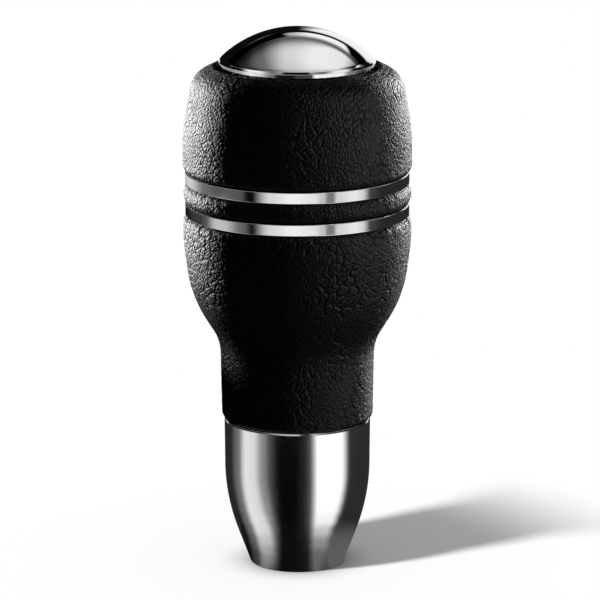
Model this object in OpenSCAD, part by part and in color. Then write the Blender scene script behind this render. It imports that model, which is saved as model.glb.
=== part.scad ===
// Gear lever knob. Two leather wraps and a narrow leather band are stacked on a keyed
// spindle with two plated rings between them. A nut under the domed cap clamps the stack,
// and a screw-on collar hides the lever socket, its bush and its three set screws.

/* [Stack heights] */
// Height of the screw-on collar
collar_h = 31.5; // [29:0.1:36]
// Height of the lower leather wrap
lower_h = 43.3; // [40:0.1:50]
// Height of each plated ring
ring_h = 2.5; // [2:0.1:4]
// Height of the narrow leather band between the rings
band_h = 4.2; // [3.6:0.1:6]
// Height of the upper leather wrap up to the top of its lip
upper_h = 21.9; // [21:0.1:30]
// Height of the dome above its rim
dome_h = 6.7; // [5:0.1:8]

/* [Outside diameters] */
// Widest diameter of the knob, at its upper wrap
grip_d = 47.8; // [44:0.1:54]
// How far the lower wrap stays inside the upper one, on the radius
lower_in = 0.1; // [0:0.05:0.5]
// How far the leather band stays inside the upper wrap, on the radius
band_in = 0.15; // [0:0.05:0.5]
// How far the plated rings stay inside the upper wrap, on the radius
ring_in = 0.55; // [0.3:0.05:1]
// Diameter of the lower wrap's neck
neck_d = 32.3; // [31:0.1:36]
// Diameter of the collar at its top edge
collar_d = 30.7; // [30:0.1:34]
// Diameter of the collar's foot
foot_d = 19.8; // [18.5:0.1:22]
// Width of the leather crown between the cap's rim and the widest radius
crown_w = 7.6; // [6:0.1:9]

/* [Wrap shapes] */
// Height of the straight neck of the lower wrap
neck_h = 16.3; // [12:0.1:18]
// How much narrower the neck is at its bottom, on the radius
neck_taper = 0.25; // [0:0.05:0.5]
// Height of the flare between the neck and the knee
flare_h = 9.7; // [8:0.1:13]
// Rounding between the neck and the flare
neck_round = 10; // [4:0.5:12]
// Rounding of the knee above the flare
knee_round = 26; // [16:1:34]
// Rounding of both wraps where they are widest
belly_round = 57; // [40:1:80]
// How far the knee stays inside the widest radius
knee_in = 1.56; // [1:0.1:2.5]
// Height from the lower wrap's widest point up to the ring
belly_drop = 5.8; // [4:0.1:8]
// Height of the upper wrap's straight side
side_h = 8.4; // [6:0.1:10]
// How far the upper wrap has narrowed at its shoulder
shoulder_in = 2; // [1:0.1:3]
// Slope of the shoulder above the horizontal, in degrees
shoulder_slope = 26; // [22:0.1:40]
// Rounding of the shoulder
shoulder_round = 7.5; // [5:0.5:9]
// Radius of the lip round the cap
lip_r = 1; // [0.9:0.05:1.3]
// Width of the gap between the lip and the cap's skirt
lip_gap = 0.5; // [0.3:0.05:1]

/* [Leather] */
// Thickness of the leather
leather_t = 0.8; // [0.6:0.05:1]
// Thickness of the glue film under the leather
glue_t = 0.05; // [0.03:0.01:0.1]
// Width of leather turned in under a ring
tuck_w = 4.3; // [3.4:0.1:5]
// Radius of a wrap's rounded edge beside a ring
edge_r = 1.5; // [1.2:0.1:1.8]
// Radius of the leather band's rounded edges
band_edge_r = 1.7; // [1.2:0.1:1.8]

/* [Collar] */
// Height of the collar's belly, where its cone meets its side
collar_belly_h = 14.2; // [12:0.1:16]
// Rounding of the collar's belly
collar_round = 46; // [30:1:60]
// Thickness of the collar's wall
collar_wall = 2; // [1.6:0.1:2.2]
// Thickness of the collar's foot
foot_t = 2; // [1.5:0.1:3]
// Polished chamfer round the collar's top edge
collar_chamfer = 0.3; // [0.2:0.05:0.6]
// Length of the collar's thread
thread_len = 7; // [5:0.5:8]
// Thickness of the rubber ring in the collar's top face
o_ring_w = 1; // [0.8:0.1:1.2]
// Gap between the collar and the lower wrap
shadow_gap = 0.3; // [0.2:0.05:0.6]

/* [Lever socket] */
// Diameter of the gear lever that the bush takes
lever_d = 10; // [9:0.1:11]
// Wall of the bush
bush_wall = 1.5; // [1.2:0.1:1.8]
// Length of the bush inside its socket
bush_len = 21; // [16:0.5:22]
// Width of the bush's slit
slit_w = 1.4; // [0.8:0.1:2]
// Wall of the socket, which the set screws pass through
socket_wall = 4.3; // [4:0.1:4.6]
// Height of the set screws above the end of the spindle
screw_rise = 6; // [4:0.1:7]
// Diameter of the set screws
screw_d = 4; // [3:0.5:4]
// Length of the set screws
screw_len = 4; // [3.4:0.1:4.2]
// Width of the set screws' hexagon socket
hex_w = 2; // [1.5:0.1:2]

/* [Spindle and its nut] */
// Diameter of the spindle's keyed rod
rod_d = 10; // [9:0.5:12]
// Width across the rod's two flats
rod_flats = 8.4; // [8:0.1:8.8]
// Thickness of the spindle's flange
flange_t = 2.5; // [2:0.1:3.5]
// Diameter of the clamp thread at the spindle's top
clamp_d = 8; // [6:0.5:8]
// Width of the clamp nut across its flats
nut_w = 13; // [12:0.5:15]
// Height of the clamp nut
nut_h = 6.4; // [5:0.1:8]
// Diameter of the flat washer
washer_d = 17; // [16:0.5:19]
// Thickness of the flat washer
washer_t = 1.6; // [1:0.1:2]
// Thickness of the spring washer
spring_t = 1.8; // [1.2:0.1:2.2]
// Width of a plated ring, from the spool's hub to its outside
ring_w = 6.8; // [6:0.1:8]

/* [Mouldings] */
// Wall of the mouldings beside their cored pockets
grip_wall = 3.4; // [2.4:0.1:4]
// Wall of the mouldings' hub round the spindle
grip_hub_wall = 3.2; // [2.4:0.1:4]
// Number of ribs between the pockets
ribs = 8; // [6:1:10]
// Thickness of a rib
rib_t = 2.4; // [2:0.1:3]

/* [Cap] */
// Thickness of the cap's shell
cap_t = 1.6; // [1.2:0.1:2]
// Height of the cap's skirt
skirt_h = 3.2; // [2.6:0.1:4]
// How far the cap's rim stands above the lip
rim_rise = 1.5; // [0.3:0.1:2]
// Polished chamfer round the cap's rim
rim_chamfer = 0.4; // [0.2:0.05:0.6]
// Diameter of the cap's stud
stud_d = 5; // [4:0.5:5]
// Depth of the stud in the spindle
stud_depth = 7; // [5:0.5:9]

/* [Fits] */
// Radial clearance of pieces that slide over each other once, at assembly
slip = 0.1; // [0.05:0.01:0.15]
// Radial clearance of the threads
thread_gap = 0.06; // [0.03:0.01:0.09]

/* [Hidden] */
$fn = 96;

// Outside radii, which all follow the upper wrap's
upper_r = grip_d / 2;
lower_r = upper_r - lower_in;
band_r = upper_r - band_in;
ring_r = upper_r - ring_in;
hub_r = ring_r - ring_w - slip / 2;
dome_r = upper_r - crown_w;

// Heights of the stack, from the foot upwards
lower_z = collar_h + shadow_gap;
lower_ring_z = lower_z + lower_h;
band_z = lower_ring_z + ring_h;
upper_ring_z = band_z + band_h;
upper_z = upper_ring_z + ring_h;
lip_z = upper_z + upper_h;
rim_z = lip_z + rim_rise;
ledge_z = rim_z - skirt_h;
dome_top_z = rim_z + dome_h;

// Lever socket: the bush sits in the spindle, and the spindle ends where the collar's cone is wide enough
bush_r = lever_d / 2 + bush_wall;
bush_flange_w = 1.2;
bush_flange_t = 1.2;
bush_end_gap = 1;
bush_hole_gap = 0.3;
socket_r = bush_r + slip / 2;
socket_out_r = socket_r + socket_wall;
collar_taper = 0.15;
collar_belly_r = collar_d / 2 - collar_taper;
cone_slope = (collar_belly_r - foot_d / 2) / collar_belly_h;
cone_wall = collar_wall / cos(atan(cone_slope));
collar_inner_gap = 0.6;
spindle_z = (socket_out_r + collar_inner_gap + cone_wall - foot_d / 2) / cone_slope;
socket_top_z = spindle_z + bush_len + bush_end_gap;
screw_z = spindle_z + screw_rise;
screw_angles = [270, 30, 150];
screw_sink = 0.4;
screw_head_r = socket_out_r - screw_sink;

// Collar thread, with a turned relief between it and the flange
thread_step = 1.1;
thread_r = socket_out_r + thread_step;
relief_h = 1.2;
thread_top_z = collar_h - relief_h;
thread_end_z = thread_top_z - thread_len;
mouth_gap = 2.5;

// Rubber ring in a groove in the collar's top face, which the flange covers
o_ring_gap = 0.04;
groove_w = o_ring_w + 2 * o_ring_gap;
groove_land = 0.45;
groove_in_r = thread_r + thread_gap + groove_land;

// Spindle above its flange
neck_bottom_r = neck_d / 2 - neck_taper;
neck_tuck = 1.9;
flange_r = neck_bottom_r - neck_tuck;
flange_top_z = collar_h + flange_t;
boss_r = socket_r + 2.5;
boss_roof = 3;
boss_top_z = socket_top_z + boss_roof;
boss_taper_h = 6;
washer_z = ledge_z - washer_t - spring_t - nut_h;
nut_z = washer_z + washer_t + spring_t;
nut_room = 1;
clamp_end = 1.5;
spindle_top_z = ledge_z + clamp_end;
shoulder_relief = 0.5;
hex_corner = 1 / cos(30);

// Cap
boss_wall = 2;
boss_gap = 0.5;
stud_end_gap = 0.3;
stud_z = spindle_top_z - stud_depth + stud_end_gap;
stud_top_z = dome_top_z - cap_t - 1;
sphere_r = (dome_r * dome_r + dome_h * dome_h) / (2 * dome_h);
sphere_z = dome_top_z - sphere_r;
chamfer_slope = 67.5;

// Points of a circular arc, from angle a to angle b
function arc(centre, r, a, b, n = 8) =
    [for (i = [0:n]) centre + r * [cos(a + (b - a) * i / n), sin(a + (b - a) * i / n)]];

function unit(v) = v / norm(v);
function side(v) = [-v[1], v[0]];
function flat_list(lists) = [for (list = lists) each list];
function reversed(path) = [for (i = [len(path) - 1:-1:0]) path[i]];

// One corner [x, y, radius] of an outline, rounded as far as its neighbours leave room
function corner(before, here, after) =
    let (
        p = [here[0], here[1]],
        u = unit([before[0], before[1]] - p),
        v = unit([after[0], after[1]] - p),
        half = acos(max(-1, min(1, u * v))) / 2,
        room = 0.48 * min(norm([before[0], before[1]] - p), norm([after[0], after[1]] - p)),
        r = min(here[2], room * tan(half))
    )
    r < 0.01 || half > 89.5 ? [p] :
    let (
        centre = p + unit(u + v) * r / sin(half),
        start = p + u * r / tan(half) - centre,
        turn = 180 - 2 * half,
        way = u[0] * v[1] - u[1] * v[0] > 0 ? -1 : 1,
        a = atan2(start[1], start[0]),
        n = max(3, ceil(turn / 9))
    )
    arc(centre, r, a, a + way * turn, n);

// An open outline through [x, y, radius] corners
function rounded(corners) = flat_list([
    for (i = [0:len(corners) - 1])
        i == 0 || i == len(corners) - 1 ? [[corners[i][0], corners[i][1]]] :
        corner(corners[i - 1], corners[i], corners[i + 1])]);

// The same outline moved sideways by d, to the left of its direction of travel
function shifted(path, d) =
    let (last = len(path) - 1)
    [for (i = [0:last])
        let (
            before = side(unit(path[max(i, 1)] - path[max(i, 1) - 1])),
            after = side(unit(path[min(i, last - 1) + 1] - path[min(i, last - 1)])),
            middle = unit(before + after)
        )
        path[i] + middle * d / (middle * before)];

// Outer faces of the three leather pieces, from their lower tuck round to their upper one
lower_path = rounded([
    [flange_r + slip, lower_z, 0],
    [neck_bottom_r, lower_z, edge_r],
    [neck_d / 2, lower_z + neck_h, neck_round],
    [lower_r - knee_in, lower_z + neck_h + flare_h, knee_round],
    [lower_r, lower_ring_z - belly_drop, belly_round],
    [lower_r, lower_ring_z, edge_r],
    [lower_r - tuck_w, lower_ring_z, 0]]);

band_tuck_gap = 2.4;
band_tuck_r = hub_r + band_tuck_gap;
band_path = rounded([
    [band_tuck_r, band_z, 0],
    [band_r, band_z, band_edge_r],
    [band_r, band_z + band_h, band_edge_r],
    [band_tuck_r, band_z + band_h, 0]]);

skin = leather_t + glue_t + grip_wall;
grip_hub_r = rod_d / 2 + slip + grip_hub_wall;
lip_in_r = dome_r + lip_gap;
lip_corner_z = lip_z + lip_r * (tan((90 + shoulder_slope) / 2) - 1);
shoulder_r = upper_r - shoulder_in;
shoulder_z = lip_corner_z - (shoulder_r - lip_in_r) * tan(shoulder_slope);
upper_path = rounded([
    [upper_r - tuck_w, upper_z, 0],
    [upper_r, upper_z, edge_r],
    [upper_r, upper_z + side_h, belly_round],
    [shoulder_r, shoulder_z, shoulder_round],
    [lip_in_r, lip_corner_z, lip_r],
    [lip_in_r, ledge_z + glue_t, 0]]);

// Outline of the moulding under a leather path, with its ends brought down level with the leather's
function under(path) = shifted(path, leather_t + glue_t);

// A solid turned from an outline
module turned(outline) {
    rotate_extrude() polygon(outline);
}

// Leather that follows a path
module leather(path) {
    color([0.05, 0.05, 0.055])
        turned(concat(path, reversed(shifted(path, leather_t))));
}

// The rod's section between its two flats, grown by gap for a hole
module keyed_rod(gap, z, h) {
    translate([0, 0, z])
        intersection() {
            cylinder(r = rod_d / 2 + gap, h = h);
            translate([-rod_d, -rod_flats / 2 - gap, 0]) cube([2 * rod_d, rod_flats + 2 * gap, h]);
        }
}

// The boss that holds the socket's end, and the taper down to the rod, grown by gap for a hole
module spindle_boss(gap) {
    taper_end_r = rod_flats / 2;
    turned([
        [0, flange_top_z - 1],
        [boss_r + gap, flange_top_z - 1],
        [boss_r + gap, boss_top_z + gap],
        [taper_end_r + gap, boss_top_z + boss_taper_h + gap],
        [0, boss_top_z + boss_taper_h + gap]]);
}

module lever_socket() {
    translate([0, 0, spindle_z - 1]) cylinder(r = socket_r, h = socket_top_z - spindle_z + 1);
}

// Lays its children along each set screw's axis, with +Z pointing away from the lever
module along_screw(angle) {
    rotate([0, 0, angle]) translate([0, 0, screw_z]) rotate([0, 90, 0]) children();
}

module spindle() {
    edge = 0.5;
    color([0.72, 0.73, 0.75]) difference() {
        union() {
            turned([
                [0, spindle_z],
                [socket_out_r - edge, spindle_z],
                [socket_out_r, spindle_z + edge],
                [socket_out_r, thread_end_z - 1],
                [thread_r, thread_end_z],
                [thread_r, thread_top_z],
                [socket_out_r, thread_top_z],
                [socket_out_r, collar_h],
                [flange_r, collar_h],
                [flange_r, flange_top_z],
                [0, flange_top_z]]);
            spindle_boss(0);
            keyed_rod(0, boss_top_z, washer_z - shoulder_relief - boss_top_z);
            translate([0, 0, boss_top_z])
                cylinder(r = clamp_d / 2, h = spindle_top_z - boss_top_z);
        }
        lever_socket();
        for (angle = screw_angles)
            along_screw(angle) cylinder(r = screw_d / 2 + thread_gap, h = socket_out_r + 1);
        translate([0, 0, spindle_top_z - stud_depth])
            cylinder(r = stud_d / 2 + thread_gap, h = stud_depth + 1);
    }
}

module lever_bush() {
    color([0.12, 0.12, 0.13]) difference() {
        turned([
            [lever_d / 2, spindle_z - bush_flange_t],
            [bush_r + bush_flange_w, spindle_z - bush_flange_t],
            [bush_r + bush_flange_w, spindle_z],
            [bush_r, spindle_z],
            [bush_r, spindle_z + bush_len],
            [lever_d / 2, spindle_z + bush_len]]);
        translate([-slit_w / 2, 0, spindle_z - bush_flange_t - 1])
            cube([slit_w, bush_r + bush_flange_w + 1, bush_len + bush_flange_t + 2]);
        for (angle = screw_angles)
            along_screw(angle) cylinder(r = screw_d / 2 + bush_hole_gap, h = bush_r + 1);
    }
}

// A headless screw with a hexagon socket in its outer end and a cup point at its inner end
module set_screw(number) {
    bevel = screw_d / 10;
    cup_r = screw_d / 2 - 2 * bevel;
    hex_depth = screw_len / 2;
    color([0.16, 0.16, 0.17]) along_screw(screw_angles[number - 1])
        translate([0, 0, screw_head_r - screw_len])
            difference() {
                turned([
                    [0, cup_r / 2],
                    [cup_r, 0],
                    [screw_d / 2 - bevel, 0],
                    [screw_d / 2, bevel],
                    [screw_d / 2, screw_len - bevel / 2],
                    [screw_d / 2 - bevel / 2, screw_len],
                    [0, screw_len]]);
                translate([0, 0, screw_len - hex_depth])
                    cylinder(r = hex_w / 2 * hex_corner, h = hex_depth + 1, $fn = 6);
            }
}

module collar() {
    groove_z = collar_h - groove_w;
    outside = rounded([
        [lever_d / 2 + mouth_gap, 0, 0],
        [foot_d / 2, 0, 0.5],
        [collar_belly_r, collar_belly_h, collar_round],
        [collar_d / 2, collar_h - collar_chamfer, 0],
        [collar_d / 2 - collar_chamfer, collar_h, 0],
        [groove_in_r + groove_w, collar_h, 0],
        [groove_in_r + groove_w, groove_z, 0],
        [groove_in_r, groove_z, 0],
        [groove_in_r, collar_h, 0],
        [thread_r + thread_gap, collar_h, 0]]);
    inside = rounded([
        [thread_r + thread_gap, thread_end_z - 0.5, 0],
        [collar_belly_r - collar_wall, thread_end_z - 1, 0],
        [collar_belly_r - collar_wall, collar_belly_h - collar_wall * tan(atan(cone_slope) / 2),
            collar_round - collar_wall],
        [foot_d / 2 + cone_slope * foot_t - cone_wall, foot_t, 0],
        [lever_d / 2 + mouth_gap, foot_t, 0]]);
    color([0.78, 0.78, 0.8]) turned(concat(outside, inside));
}

module collar_o_ring() {
    color([0.05, 0.05, 0.05])
        rotate_extrude()
            translate([groove_in_r + groove_w / 2, collar_h - groove_w / 2])
                circle(r = o_ring_w / 2, $fn = 24);
}

// Pockets that core a moulding, between its hub, its outer wall and its ribs
module pockets(outline) {
    difference() {
        turned(outline);
        for (i = [0:ribs - 1])
            rotate([0, 0, (i + 0.5) * 360 / ribs]) translate([0, -rib_t / 2, 0])
                cube([grip_d, rib_t, dome_top_z]);
    }
}

module lower_grip() {
    path = under(lower_path);
    first = path[0];
    last = path[len(path) - 1];
    pocket_z = boss_top_z + boss_taper_h + grip_hub_wall;
    pocket_end_z = lower_ring_z + 1;
    color([0.2, 0.2, 0.21]) difference() {
        turned(concat(
            [[0, first[1]]],
            path,
            [[last[0] - glue_t, last[1]], [last[0] - glue_t, lower_ring_z], [0, lower_ring_z]]));
        translate([0, 0, lower_z - 1]) cylinder(r = flange_r + slip, h = flange_top_z - lower_z + 1);
        spindle_boss(slip);
        keyed_rod(slip, boss_top_z, lower_ring_z - boss_top_z + 1);
        pockets([
            [grip_hub_r, pocket_z],
            [neck_bottom_r - skin, pocket_z],
            [neck_d / 2 - skin, lower_z + neck_h],
            [lower_r - knee_in - skin, lower_z + neck_h + flare_h],
            [lower_r - skin, lower_ring_z - belly_drop],
            [lower_r - skin, pocket_end_z],
            [grip_hub_r, pocket_end_z]]);
    }
}

// The spool's hub carries both rings, and its web backs the leather band
module middle_spool() {
    path = under(band_path);
    color([0.2, 0.2, 0.21]) difference() {
        turned(concat(
            [[0, lower_ring_z], [hub_r, lower_ring_z], [hub_r, path[0][1]]],
            path,
            [[hub_r, path[len(path) - 1][1]], [hub_r, upper_z], [0, upper_z]]));
        keyed_rod(slip, lower_ring_z - 1, upper_z - lower_ring_z + 2);
    }
}

module plated_ring(z) {
    bevel = 0.15;
    bore_r = ring_r - ring_w;
    color([0.85, 0.86, 0.88]) turned([
        [bore_r, z],
        [ring_r - bevel, z],
        [ring_r, z + bevel],
        [ring_r, z + ring_h - bevel],
        [ring_r - bevel, z + ring_h],
        [bore_r, z + ring_h]]);
}

module upper_grip() {
    path = under(upper_path);
    first = path[0];
    last = path[len(path) - 1];
    nut_pocket_r = max(washer_d / 2, nut_w / 2 * hex_corner) + nut_room;
    floor_z = washer_z - grip_wall;
    roof_z = ledge_z - grip_wall;
    color([0.2, 0.2, 0.21]) difference() {
        turned(concat(
            [[0, upper_z], [first[0] - glue_t, upper_z], [first[0] - glue_t, first[1]]],
            path,
            [[last[0], ledge_z], [0, ledge_z]]));
        keyed_rod(slip, upper_z - 1, washer_z - upper_z + 2);
        translate([0, 0, washer_z]) cylinder(r = nut_pocket_r, h = ledge_z - washer_z + 1);
        pockets([
            [grip_hub_r, upper_z - 1],
            [upper_r - skin, upper_z - 1],
            [upper_r - skin, upper_z + side_h],
            [shoulder_r - skin, roof_z],
            [nut_pocket_r + grip_wall, roof_z],
            [nut_pocket_r + grip_wall, floor_z],
            [grip_hub_r, floor_z]]);
    }
}

module flat_washer() {
    bore_r = clamp_d / 2 + 2 * slip;
    color([0.7, 0.71, 0.72]) turned([
        [bore_r, washer_z],
        [washer_d / 2, washer_z],
        [washer_d / 2, washer_z + washer_t],
        [bore_r, washer_z + washer_t]]);
}

// A split ring under the nut
module spring_washer() {
    bore_r = clamp_d / 2 + 2 * slip;
    z = washer_z + washer_t;
    color([0.6, 0.6, 0.62]) difference() {
        turned([
            [bore_r, z],
            [bore_r + spring_t * 1.4, z],
            [bore_r + spring_t * 1.4, z + spring_t],
            [bore_r, z + spring_t]]);
        translate([bore_r - 1, 0, z + spring_t / 2]) rotate([25, 0, 0])
            translate([0, -0.3, -2 * spring_t]) cube([spring_t * 1.4 + 2, 0.6, 4 * spring_t]);
    }
}

// A hexagon nut with both faces' corners turned off
module clamp_nut() {
    corner_r = nut_w / 2 * hex_corner;
    bevel = 0.6;
    color([0.7, 0.71, 0.72]) difference() {
        intersection() {
            translate([0, 0, nut_z]) cylinder(r = corner_r, h = nut_h, $fn = 6);
            turned([
                [0, nut_z],
                [nut_w / 2 - 0.1, nut_z],
                [corner_r + 0.2, nut_z + bevel],
                [corner_r + 0.2, nut_z + nut_h - bevel],
                [nut_w / 2 - 0.1, nut_z + nut_h],
                [0, nut_z + nut_h]]);
        }
        translate([0, 0, nut_z - 1]) cylinder(r = clamp_d / 2 + thread_gap, h = nut_h + 2);
    }
}

module cap_stud() {
    bevel = 0.4;
    r = stud_d / 2;
    color([0.6, 0.6, 0.62]) turned([
        [0, stud_z],
        [r - bevel, stud_z],
        [r, stud_z + bevel],
        [r, stud_top_z - bevel],
        [r - bevel, stud_top_z],
        [0, stud_top_z]]);
}

// A domed shell with a skirt that sits on the upper moulding's ledge and a boss for the stud
module cap_dome() {
    skirt_in_r = dome_r - cap_t;
    boss_out_r = stud_d / 2 + boss_wall;
    boss_z = spindle_top_z + boss_gap;
    hole_top_z = stud_top_z + stud_end_gap;
    chamfer_in = rim_chamfer * tan(90 - chamfer_slope);
    color([0.85, 0.86, 0.88]) difference() {
        intersection() {
            translate([0, 0, sphere_z]) sphere(r = sphere_r);
            turned([
                [0, ledge_z],
                [dome_r, ledge_z],
                [dome_r, rim_z - rim_chamfer],
                [dome_r - 3 * chamfer_in, rim_z + 2 * rim_chamfer],
                [dome_r - 3 * chamfer_in, dome_top_z + 1],
                [0, dome_top_z + 1]]);
        }
        difference() {
            intersection() {
                translate([0, 0, sphere_z]) sphere(r = sphere_r - cap_t);
                translate([0, 0, ledge_z - 1]) cylinder(r = skirt_in_r, h = dome_top_z - ledge_z);
            }
            translate([0, 0, boss_z]) cylinder(r = boss_out_r, h = dome_top_z - boss_z);
        }
        translate([0, 0, boss_z - 1])
            cylinder(r = stud_d / 2 + thread_gap, h = hole_top_z - boss_z + 1);
    }
}

collar();
collar_o_ring();
spindle();
lever_bush();
set_screw(1);  // set_screw_1
set_screw(2);  // set_screw_2
set_screw(3);  // set_screw_3
lower_grip();
leather(lower_path);  // lower_leather
plated_ring(lower_ring_z);  // lower_ring
middle_spool();
leather(band_path);  // middle_leather
plated_ring(upper_ring_z);  // upper_ring
upper_grip();
leather(upper_path);  // upper_leather
flat_washer();
spring_washer();
clamp_nut();
cap_stud();
cap_dome();
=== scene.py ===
"""Gear lever knob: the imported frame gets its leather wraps, plated rings, domed cap, satin collar and threads."""
import math

import bpy
import numpy as np
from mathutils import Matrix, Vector


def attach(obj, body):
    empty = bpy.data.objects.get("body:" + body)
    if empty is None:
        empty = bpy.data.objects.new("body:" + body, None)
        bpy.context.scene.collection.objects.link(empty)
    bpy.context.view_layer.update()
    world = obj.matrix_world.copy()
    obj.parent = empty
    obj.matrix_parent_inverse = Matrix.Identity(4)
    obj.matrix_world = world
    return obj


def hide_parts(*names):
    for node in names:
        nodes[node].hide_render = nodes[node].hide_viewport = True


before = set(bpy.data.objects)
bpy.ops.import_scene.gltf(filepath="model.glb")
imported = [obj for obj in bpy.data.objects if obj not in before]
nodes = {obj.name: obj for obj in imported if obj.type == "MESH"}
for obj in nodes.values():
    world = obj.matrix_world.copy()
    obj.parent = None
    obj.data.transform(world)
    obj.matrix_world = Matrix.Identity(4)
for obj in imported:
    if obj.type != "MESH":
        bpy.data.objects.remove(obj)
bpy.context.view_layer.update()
scene = bpy.context.scene
scene.view_settings.view_transform = "Standard"

MM = 0.001
FULL_TURN = 2 * math.pi

# Levels of the stack, in millimetres, as in the part's source
COLLAR_H = 31.5
LOWER_Z = 31.8
LOWER_RING_Z = 75.1
BAND_Z = 77.6
UPPER_RING_Z = 81.8
UPPER_Z = 84.3
LIP_Z = 106.2
RIM_Z = 107.7
LEDGE_Z = 104.5
DOME_TOP_Z = 114.4

# Outside radii and the sizes of the rings and the cap, in millimetres
UPPER_R = 23.9
LOWER_R = 23.8
BAND_R = 23.75
RING_R = 23.35
RING_BORE_R = 16.55
RING_H = 2.5
RING_BEVEL = 0.15
NECK_R = 16.15
NECK_FOOT_R = 15.9
FLANGE_R = 14.0
DOME_R = 16.3
DOME_SPHERE_R = 23.18
CAP_T = 1.6
RIM_CHAMFER = 0.4
STUD_R = 2.5
STUD_GAP = 0.06
STUD_HOLE_TOP_Z = 112.1
BOSS_WALL = 2.0
BOSS_Z = 106.5

# The leather's outlines, in millimetres
LEATHER_T = 0.8
TUCK_W = 4.3
TUCK_ROUND = 1.5
NECK_H = 16.3
NECK_ROUND = 10.0
KNEE_H = 26.0
KNEE_IN = 1.56
KNEE_ROUND = 26.0
BELLY_ROUND = 57.0
LOWER_STRAIGHT_H = 5.8
UPPER_STRAIGHT_H = 8.4
BAND_H = 4.2
BAND_IN_R = 18.9
BAND_ROUND = 1.7
LIP_IN_R = 16.8
LIP_ROUND = 1.0
SHOULDER_R = 21.9
SHOULDER_ROUND = 7.5
SHOULDER_SLOPE = math.radians(26)

# The collar and its threaded bore, in millimetres
MOUTH_R = 7.5
FOOT_R = 9.9
COLLAR_BELLY_R = 15.2
COLLAR_BELLY_H = 14.2
COLLAR_TOP_R = 15.35
COLLAR_CHAMFER = 0.3
COLLAR_WALL = 2.0
FOOT_T = 2.0
THREAD_BORE_R = 12.01
THREAD_END_Z = 23.3
GROOVE_IN_R = 12.46
GROOVE_W = 1.08

# The hide that each wrap is cut from is measured in this length, so that its map stays between 0 and 1
HIDE_MM = 160.0
HIDE_MARGIN = 0.05
WRAP_ROUND = FULL_TURN * UPPER_R

# The back seam's stitches, in millimetres
STITCH_PITCH = 2.6
STITCH_REACH = 1.35
THREAD_THICKNESS = 0.38


# Wide bends are divided finer than small roundings, because metal mirrors their facets
WIDE_BEND = 20.0
WIDE_BEND_SHARE = 6


# Outlines

def unit(v):
    return v / np.linalg.norm(v)


def corner(before, here, after, step=4.0):
    """One corner [radius, height, rounding] of an outline, rounded as far as its neighbours leave room."""
    p, rounding = np.array(here[:2], float), here[2]
    u, v = np.array(before[:2], float) - p, np.array(after[:2], float) - p
    room = 0.48 * min(np.linalg.norm(u), np.linalg.norm(v))
    u, v = unit(u), unit(v)
    half = math.acos(max(-1.0, min(1.0, float(u @ v)))) / 2
    r = min(rounding, room * math.tan(half))
    if r < 0.01 or half > math.radians(89.5):
        return [p]
    centre = p + unit(u + v) * r / math.sin(half)
    start = p + u * r / math.tan(half) - centre
    turn = math.pi - 2 * half
    way = -1 if u[0] * v[1] - u[1] * v[0] > 0 else 1
    a = math.atan2(start[1], start[0])
    n = max(4, math.ceil(math.degrees(turn) / step))
    return [centre + r * np.array([math.cos(a + way * turn * i / n), math.sin(a + way * turn * i / n)])
            for i in range(n + 1)]


def rounded(corners, step=4.0):
    """An open outline through [radius, height, rounding] corners."""
    path = [np.array(corners[0][:2], float)]
    for before, here, after in zip(corners, corners[1:], corners[2:]):
        path += corner(before, here, after, step if here[2] < WIDE_BEND else step / WIDE_BEND_SHARE)
    return path + [np.array(corners[-1][:2], float)]


def held(path, near=0.05):
    """The outline with a point close to each end of its long straights, so that smooth shading stays flat on them."""
    made = [path[0]]
    for a, b in zip(path, path[1:]):
        length = np.linalg.norm(b - a)
        if length > 4 * near:
            made += [a + (b - a) * near / length, b - (b - a) * near / length]
        made.append(b)
    return made


def side(v):
    return np.array([-v[1], v[0]])


def shifted(path, distance):
    """The outline moved sideways, to the left of its direction of travel."""
    moved = []
    for i, p in enumerate(path):
        into = side(unit(path[max(i, 1)] - path[max(i, 1) - 1]))
        j = min(i, len(path) - 2)
        out = side(unit(path[j + 1] - path[j]))
        middle = unit(into + out)
        moved.append(p + middle * distance / float(middle @ into))
    return moved


def resampled(path, pitch):
    """Points at an even pitch along the outline, with its first and last point kept."""
    path = np.array(path)
    lengths = np.concatenate([[0], np.cumsum(np.linalg.norm(np.diff(path, axis=0), axis=1))])
    n = max(2, math.ceil(lengths[-1] / pitch))
    s = np.linspace(0, lengths[-1], n + 1)
    return [np.array([np.interp(t, lengths, path[:, 0]), np.interp(t, lengths, path[:, 1])]) for t in s]


# Nodes, for materials and for shapes alike

class Value:
    """An output of a node. Arithmetic on it adds Math nodes."""

    def __init__(self, graph, socket):
        self.graph, self.socket = graph, socket

    def math(self, operation, *others):
        return self.graph.node("ShaderNodeMath", {"operation": operation},
                               dict(enumerate((self, *others))))

    def __add__(self, other):
        return self.math("ADD", other)

    def __sub__(self, other):
        return self.math("SUBTRACT", other)

    def __rsub__(self, other):
        return self.graph.node("ShaderNodeMath", {"operation": "SUBTRACT"}, {0: other, 1: self})

    def __mul__(self, other):
        return self.math("MULTIPLY", other)

    def __truediv__(self, other):
        return self.math("DIVIDE", other)

    def __neg__(self):
        return self.math("MULTIPLY", -1.0)

    __radd__ = __add__
    __rmul__ = __mul__


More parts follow.
